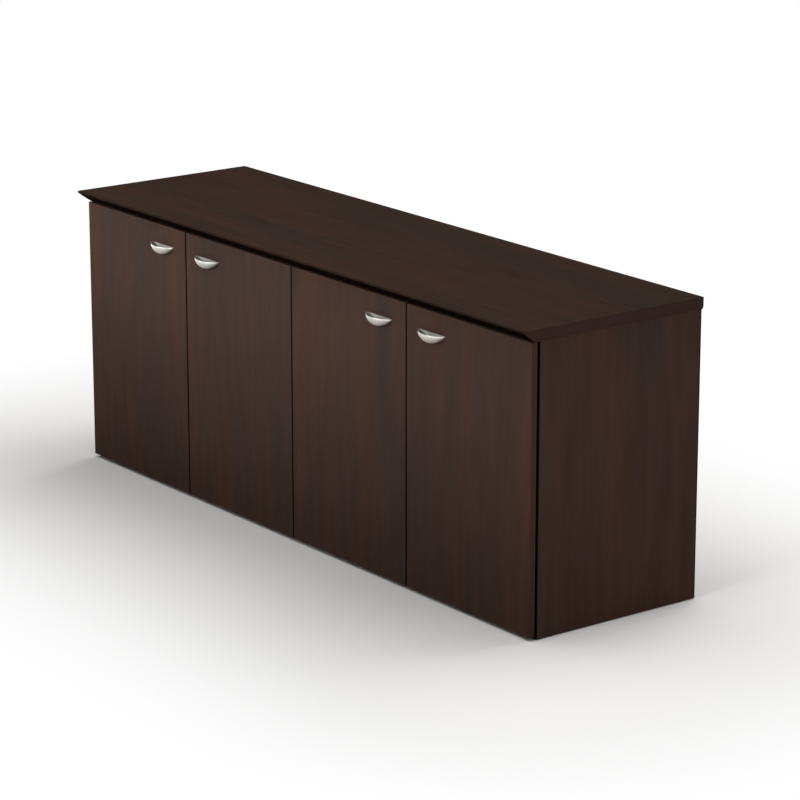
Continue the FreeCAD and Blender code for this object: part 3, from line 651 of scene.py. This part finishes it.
def band_strip(trim, low, high, axis, side, wrap, proud):
    """A strip over one long edge of a board, with its own long edges rounded.

    low and high are the board's corners. The edge faces along axis (0 = X, 1 = Y), towards side."""
    run = max({0, 1, 2} - {axis}, key=lambda place: high[place] - low[place])
    first = [corner - trim.band_skin for corner in low]
    last = [corner + trim.band_skin for corner in high]
    first[run], last[run] = low[run], high[run]
    if side < 0:
        first[axis], last[axis] = low[axis] - proud, low[axis] + wrap
    else:
        first[axis], last[axis] = high[axis] - wrap, high[axis] + proud
    builder = bmesh.new()
    bmesh.ops.create_cube(builder, size=1.0)
    for vert in builder.verts:
        vert.co = [a + (c + 0.5) * (b - a) for a, b, c in zip(first, last, vert.co)]
    long_edges = [edge for edge in builder.edges
                  if abs(edge.verts[0].co[run] - edge.verts[1].co[run]) > (last[run] - first[run]) / 2]
    bmesh.ops.bevel(builder, geom=long_edges, offset=trim.band_round, offset_type="OFFSET",
                    segments=3, profile=0.5, affect="EDGES", material=-1)
    return builder


class CREDENZA_OT_edge_bands(bpy.types.Operator):
    """Band the front edges behind the doors, the sides' rear edges and the doors' meeting edges"""
    bl_idname = "credenza.edge_bands"
    bl_label = "Edge bands"

    def execute(self, context):
        trim = context.scene.credenza_trim
        # The bands are real trim; their near-black colour is painted shade in the seams and gaps.
        finish = seam_shade_edge_band()
        side_panels = ("left_side_panel", "right_side_panel")
        for node in side_panels + ("centre_partition", "front_top_rail", "bottom_panel"):
            low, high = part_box(node)
            strip = band_strip(trim, low, high, 1, -1, trim.carcass_wrap, trim.carcass_proud)
            new_piece(node + "_front_band", strip, finish, "cabinet")
        for node in side_panels:
            low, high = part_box(node)
            strip = band_strip(trim, low, high, 1, 1, trim.carcass_wrap, trim.carcass_proud)
            new_piece(node + "_rear_band", strip, finish, "cabinet")
        meeting = {"far_left": (1,), "mid_left": (-1, 1), "mid_right": (-1, 1), "far_right": (-1,)}
        for door, sides in meeting.items():
            low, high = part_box(door + "_door")
            for side in sides:
                strip = band_strip(trim, low, high, 0, side, trim.door_wrap, trim.door_proud)
                name = door + ("_right_band" if side > 0 else "_left_band")
                new_piece(name, strip, finish, door + "_door_leaf")
        return {"FINISHED"}


def crescent_section(pull, x, half, height, reach):
    """One cross-section of a pull as points out from the door and up from the rim, in metres.

    It goes from the door under the heel and up the front, over the rolled lip, down the scoop
    and up the plate. The function also gives the place of the first point past the lip."""
    heel_steps, belly_steps, lip_steps, scoop_steps, plate_steps = 8, 12, 8, 16, 6
    # The outside is a circle's segment hung from the rim, turned forward round an axis over it.
    axis_height = (reach ** 2 - height ** 2) / (2 * height)
    arc_radius = (half ** 2 + height ** 2) / (2 * height)
    drop = math.sqrt(arc_radius ** 2 - x ** 2) - (arc_radius - height)
    rim = math.sqrt((axis_height + drop) ** 2 - axis_height ** 2)
    # The section shrinks to almost nothing at the tips, so lip, plate and scoop keep to a share of it.
    roll = min(pull.lip / 2 * (1 + pull.lip_growth * (x / half) ** 2), 0.42 * drop)
    belly = pull.belly * rim / reach
    points = []
    for step in range(heel_steps + 1):
        angle = math.pi / 2 * step / heel_steps
        points.append((belly * (1 - math.cos(angle)),
                       -drop * (1 - pull.heel + pull.heel * math.sin(angle))))
    for step in range(1, belly_steps + 1):
        angle = math.acos(roll / drop) * step / belly_steps
        points.append((belly + (rim - belly) * math.sin(angle), -drop * math.cos(angle)))
    front = points[-1][0]
    lip_in = max(front - 2 * roll, 0.5 * front)
    middle = (front + lip_in) / 2
    for step in range(1, lip_steps):
        angle = math.pi * step / lip_steps
        points.append((middle + (front - middle) * math.cos(angle), roll * (math.sin(angle) - 1)))
    past_lip = len(points)
    plate = min(pull.plate, 0.3 * lip_in)
    plate_roll = min(plate / 2, roll)
    rise = math.cos(math.pi / 2 * x / half) ** pull.scoop_taper
    deepest = min(pull.scoop_depth * rise, max(drop - pull.lip - roll, 0.1 * drop))
    for step in range(scoop_steps + 1):
        share = step / scoop_steps
        bowl = (1 - abs(2 * share - 1) ** pull.bowl_squareness) ** (1 / pull.bowl_squareness)
        points.append((lip_in + (plate - lip_in) * share,
                       -roll + (roll - plate_roll) * share - deepest * bowl))
    for step in range(1, plate_steps + 1):
        angle = math.pi * step / plate_steps
        points.append((plate / 2 * (1 + math.cos(angle)), plate_roll * (math.sin(angle) - 1)))
    return points, past_lip


def crescent_pull(pull, door):
    """The mesh of one pull: cross-sections from tip to tip, closer together towards the tips.

    The scoop and the plate take the second finish."""
    spans = 64
    tip_gap = 0.05 * MM  # keeps the tips within the ends of the plain pull
    low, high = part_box(door + "_pull")
    centre_x = (low[0] + high[0]) / 2
    shown_half = (high[0] - low[0]) / 2
    half = shown_half + pull.tip_trim
    builder = bmesh.new()
    rings = []
    scooped = set()
    for step in range(spans + 1):
        x = (shown_half - tip_gap) * math.sin(math.pi * (step / spans - 0.5))
        section, past_lip = crescent_section(pull, x, half, high[2] - low[2], high[1] - low[1])
        verts = [builder.verts.new((centre_x + x, high[1] - out, high[2] + rise))
                 for out, rise in section]
        rings.append([builder.edges.new((verts[place - 1], vert)) for place, vert in enumerate(verts)])
        scooped.update(verts[past_lip:] + verts[:1])
    for ring, following in zip(rings, rings[1:]):
        strip = bmesh.ops.bridge_loops(builder, edges=ring + following)
        for face in strip["faces"]:
            face.material_index = 1 if scooped.issuperset(face.verts) else 0
    for ring in (rings[0], rings[-1]):
        bmesh.ops.edgeloop_fill(builder, edges=ring)
    return builder


class CREDENZA_OT_pulls(bpy.types.Operator):
    """Cast the crescent pulls with a rolled lip and a scooped inside, and plate them in nickel"""
    bl_idname = "credenza.pulls"
    bl_label = "Crescent pulls"

    def execute(self, context):
        metal = context.scene.credenza_metal
        nickel = satin_nickel(metal)
        # Bead-blasted before plating, so the scoop is duller than the brushed outside;
        # its darker colour is painted shade in the hollow.
        scoop_shade_finish = plated_metal("blasted_nickel_painted_shade", metal.scoop, bright=0.62, dull=0.72)
        finish_nodes([door + "_pull" for door in DOORS], nickel)
        for door in DOORS:
            mesh = crescent_pull(context.scene.credenza_pull, door)
            piece = new_piece(door + "_cast_pull", mesh, nickel, door + "_door_leaf")
            piece.data.materials.append(scoop_shade_finish)
            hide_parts(door + "_pull")
        return {"FINISHED"}


class CREDENZA_OT_hinges(bpy.types.Operator):
    """Plate the concealed hinges and the shelf pins"""
    bl_idname = "credenza.hinges"
    bl_label = "Hinges and shelf pins"

    def execute(self, context):
        metal = context.scene.credenza_metal
        steel = plated_metal("nickelled_steel", metal.hinge_steel, bright=0.2, dull=0.32)
        names = ["outer_hinge_arms", "inner_hinge_arms", "outer_hinge_plates", "inner_hinge_plates",
                 "hinge_arm_pins", "shelf_pins"]
        names += [door + part for door in DOORS for part in ("_hinge_cups", "_cup_pins", "_hinge_links")]
        finish_nodes(names, steel)
        return {"FINISHED"}


class CREDENZA_OT_fasteners(bpy.types.Operator):
    """Plate every screw, and finish the dowels"""
    bl_idname = "credenza.fasteners"
    bl_label = "Screws and dowels"

    def execute(self, context):
        metal = context.scene.credenza_metal
        zinc = plated_metal("zinc_plate", metal.zinc, bright=0.3, dull=0.45)
        names = ["top_screws", "back_screws", "hinge_plate_screws", "hinge_fixing_screws",
                 "hinge_adjusting_screws"]
        names += [door + part for door in DOORS for part in ("_pull_screws", "_cup_screws")]
        finish_nodes(names, zinc)
        finish_nodes(["panel_dowels"], turned_beech())
        return {"FINISHED"}


def disc_middles(mesh):
    """The middle and radius, seen from the front, of each separate disc in a mesh."""
    builder = bmesh.new()
    builder.from_mesh(mesh)
    bmesh.ops.remove_doubles(builder, verts=builder.verts, dist=WELD)
    left_over = set(builder.verts)
    middles = []
    while left_over:
        disc = [left_over.pop()]
        for vert in disc:
            near = {edge.other_vert(vert) for edge in vert.link_edges} & left_over
            left_over -= near
            disc += near
        xs = [vert.co.x for vert in disc]
        zs = [vert.co.z for vert in disc]
        middles.append(((min(xs) + max(xs)) / 2, (min(zs) + max(zs)) / 2, (max(xs) - min(xs)) / 2))
    builder.free()
    return sorted(middles)


def bumper_domes(trim):
    """All the stick-on bumpers, each a profile spun round its own middle where its CAD disc sits."""
    dome_steps, turn_steps = 6, 32
    builder = bmesh.new()
    low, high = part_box("door_bumpers")
    height = high[1] - low[1]
    straight = height * (1 - trim.bumper_dome)
    for middle_x, middle_z, radius in disc_middles(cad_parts["door_bumpers"].data):
        profile = [(0.0, 0.0), (radius, 0.0), (radius, straight)]
        for step in range(1, dome_steps + 1):
            angle = math.pi / 2 * step / dome_steps
            profile.append((radius * math.cos(angle), straight + (height - straight) * math.sin(angle)))
        verts = [builder.verts.new((middle_x + out, high[1] - rise, middle_z)) for out, rise in profile]
        edges = [builder.edges.new(pair) for pair in zip(verts, verts[1:])]
        bmesh.ops.spin(builder, geom=verts + edges, cent=(middle_x, 0, middle_z), axis=(0, 1, 0),
                       dvec=(0, 0, 0), angle=2 * math.pi, steps=turn_steps,
                       use_merge=True, use_duplicate=False)
    bmesh.ops.remove_doubles(builder, verts=builder.verts, dist=WELD)
    return builder


class CREDENZA_OT_feet(bpy.types.Operator):
    """Finish the floor glides, and mould the domed door bumpers"""
    bl_idname = "credenza.feet"
    bl_label = "Glides and bumpers"

    def execute(self, context):
        finish_nodes(["floor_glides"], moulded_nylon())
        clear = clear_polyurethane()
        finish_nodes(["door_bumpers"], clear)
        domes = bumper_domes(context.scene.credenza_trim)
        piece = new_piece("domed_bumpers", domes, clear, "cabinet")
        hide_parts("door_bumpers")
        return {"FINISHED"}


def soft_light(name, place, target, size, power, spread=180):
    """A rectangular softbox; a spread under 180 degrees is the grid on its front."""
    lamp = bpy.data.lights.new(name, "AREA")
    lamp.shape = "RECTANGLE"
    lamp.size = size[0]
    lamp.size_y = size[1]
    lamp.energy = power
    lamp.spread = math.radians(spread)
    holder = bpy.data.objects.new(name, lamp)
    bpy.context.scene.collection.objects.link(holder)
    holder.location = place
    holder.rotation_euler = (Vector(target) - Vector(place)).to_track_quat("-Z", "Y").to_euler()
    holder.visible_camera = False


def studio_floor_material(studio):
    """Matt white studio floor: it keeps the shadow near the cabinet and fades to white further out."""
    material, tree, shader = new_material("studio_floor")
    shader.inputs["Base Color"].default_value = rgba(studio.floor)
    shader.inputs["Roughness"].default_value = 1.0
    shader.inputs["Specular IOR Level"].default_value = 0.0
    place = add(tree, "ShaderNodeTexCoord").outputs["Object"]
    axes = add(tree, "ShaderNodeSeparateXYZ", inputs={"Vector": place})
    low, high = cad_bounds
    past = []
    for axis, name in enumerate("XY"):
        half = (high[axis] - low[axis]) / 2
        off = add(tree, "ShaderNodeMath", {"operation": "ABSOLUTE"},
                  {0: axes.outputs[name]}).outputs[0]
        beyond = add(tree, "ShaderNodeMath", {"operation": "SUBTRACT"}, {0: off, 1: half}).outputs[0]
        past.append(add(tree, "ShaderNodeMath", {"operation": "MAXIMUM"},
                        {0: beyond, 1: 0.0}).outputs[0])
    reach = add(tree, "ShaderNodeCombineXYZ", inputs={"X": past[0], "Y": past[1]}).outputs["Vector"]
    distance = add(tree, "ShaderNodeVectorMath", {"operation": "LENGTH"}, {0: reach}).outputs["Value"]
    fade = add(tree, "ShaderNodeMapRange", {"interpolation_type": "SMOOTHSTEP"}, {
        "Value": distance, "From Min": studio.shadow_start,
        "From Max": studio.shadow_end}).outputs["Result"]
    share = add(tree, "ShaderNodeMath", {"operation": "MULTIPLY"},
                {0: shown_directly(tree), 1: fade}).outputs[0]
    white = add(tree, "ShaderNodeEmission", inputs={
        "Color": (1, 1, 1, 1), "Strength": 1.0}).outputs["Emission"]
    blend = add(tree, "ShaderNodeMixShader", inputs={
        "Fac": share, 1: shader.outputs["BSDF"], 2: white}).outputs["Shader"]
    tree.links.new(blend, tree.nodes["Material Output"].inputs["Surface"])
    return material


def studio_floor(studio):
    """A wide flat floor under the cabinet."""
    floor_reach = 30.0  # from the floor's middle to each side, where white meets white
    builder = bmesh.new()
    bmesh.ops.create_grid(builder, x_segments=8, y_segments=8, size=floor_reach)
    mesh = bpy.data.meshes.new("studio_floor")
    builder.to_mesh(mesh)
    builder.free()
    mesh.materials.append(studio_floor_material(studio))
    floor = bpy.data.objects.new("studio_floor", mesh)
    bpy.context.scene.collection.objects.link(floor)


def studio_sky(studio):
    """Low even light from all round, with plain white for whatever shows the sky itself."""
    world = bpy.data.worlds.new("studio")
    world.use_nodes = True
    tree = world.node_tree
    tree.nodes.clear()
    level = add(tree, "ShaderNodeMapRange", inputs={
        "Value": shown_directly(tree), "To Min": studio.sky_level, "To Max": 1.0}).outputs["Result"]
    background = add(tree, "ShaderNodeBackground", inputs={
        "Color": (1, 1, 1, 1), "Strength": level}).outputs["Background"]
    add(tree, "ShaderNodeOutputWorld", inputs={"Surface": background})
    bpy.context.scene.world = world


def studio_lights(studio):
    """Four open softboxes light the room, and gridded ones even out what those leave dark."""
    soft_light("back_light", place=(0, 4.5, 4.5), target=(0, -0.2, 0), size=(6.0, 4.0),
               power=studio.back_power)
    soft_light("top_light", place=(-0.25, 0, 2.95), target=(-0.1, 0, 0), size=(3.8, 3.0),
               power=studio.top_power)
    soft_light("front_light", place=(0, -2.0, 2.2), target=(0, -0.23, 0.5), size=(3.0, 1.0),
               power=studio.front_power)
    soft_light("door_light", place=(0, -1.6, 1.2), target=(0, -0.23, 0.62), size=(3.0, 0.3),
               power=studio.door_power, spread=40)
    soft_light("left_door_light", place=(-1.2, -1.8, 1.0), target=(-0.5, -0.23, 0.62), size=(1.5, 0.4),
               power=studio.left_door_power, spread=40)
    soft_light("side_light", place=(2.8, -0.3, 2.2), target=(0.91, 0, 0.5), size=(1.5, 1.0),
               power=studio.side_power)
    soft_light("edge_light", place=(2.6, 0, 0.9), target=(0.91, 0, 0.55), size=(0.7, 0.4),
               power=studio.edge_power, spread=40)
    soft_light("pull_light", place=(-4.2, -0.7, 0.35), target=(0, -0.26, 0.63), size=(0.8, 0.6),
               power=studio.pull_power, spread=30)
    soft_light("floor_light", place=(1.15, -0.5, 1.3), target=(1.15, -0.45, 0), size=(0.5, 0.4),
               power=studio.floor_power, spread=45)


def studio_camera(studio):
    """A long lens in front and to the right, looking a little down."""
    camera = bpy.data.cameras.new("camera")
    camera.sensor_width = 36.0  # millimetres, as for the lens
    camera.lens = studio.lens
    camera.clip_end = 100.0  # metres, past the floor's far corners
    holder = bpy.data.objects.new("camera", camera)
    bpy.context.scene.collection.objects.link(holder)
    turn = Matrix.Rotation(studio.camera_azimuth, 4, "Z")
    tilt = Matrix.Rotation(math.pi / 2 - studio.camera_elevation, 4, "X")
    holder.matrix_world = Matrix.Translation(Vector(studio.camera_place)) @ turn @ tilt
    bpy.context.scene.camera = holder


class CREDENZA_OT_stage(bpy.types.Operator):
    """Set up the pale floor, the soft lights, the white background and the camera"""
    bl_idname = "credenza.stage"
    bl_label = "Studio and camera"

    def execute(self, context):
        studio = context.scene.credenza_studio
        studio_floor(studio)
        studio_sky(studio)
        studio_lights(studio)
        studio_camera(studio)
        context.scene.view_settings.view_transform = "Standard"
        return {"FINISHED"}


class CREDENZA_PT_panel(bpy.types.Panel):
    """Lists the steps that build the credenza's look"""
    bl_idname = "CREDENZA_PT_panel"
    bl_label = "Office Credenza"
    bl_space_type = "VIEW_3D"
    bl_region_type = "UI"
    bl_category = "Credenza"

    def draw(self, context):
        for operator in operators:
            self.layout.operator(operator.bl_idname)


property_groups = {
    "credenza_veneer": CredenzaVeneer,
    "credenza_metal": CredenzaMetal,
    "credenza_trim": CredenzaTrim,
    "credenza_pull": CredenzaPull,
    "credenza_studio": CredenzaStudio,
}
operators = (
    CREDENZA_OT_worktop,
    CREDENZA_OT_doors,
    CREDENZA_OT_interior,
    CREDENZA_OT_edge_bands,
    CREDENZA_OT_pulls,
    CREDENZA_OT_hinges,
    CREDENZA_OT_fasteners,
    CREDENZA_OT_feet,
    CREDENZA_OT_stage,
)


def register():
    for kind in (*property_groups.values(), *operators, CREDENZA_PT_panel):
        bpy.utils.register_class(kind)
    for name, group in property_groups.items():
        setattr(bpy.types.Scene, name, PointerProperty(type=group))


def unregister():
    for name in property_groups:
        delattr(bpy.types.Scene, name)
    for kind in (CREDENZA_PT_panel, *reversed(operators), *reversed(property_groups.values())):
        bpy.utils.unregister_class(kind)


def main():
    register()
    bpy.ops.credenza.worktop()
    bpy.ops.credenza.doors()
    bpy.ops.credenza.interior()
    bpy.ops.credenza.edge_bands()
    bpy.ops.credenza.pulls()
    bpy.ops.credenza.hinges()
    bpy.ops.credenza.fasteners()
    bpy.ops.credenza.feet()
    bpy.ops.credenza.stage()
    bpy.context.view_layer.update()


if __name__ == "__main__":
    main()
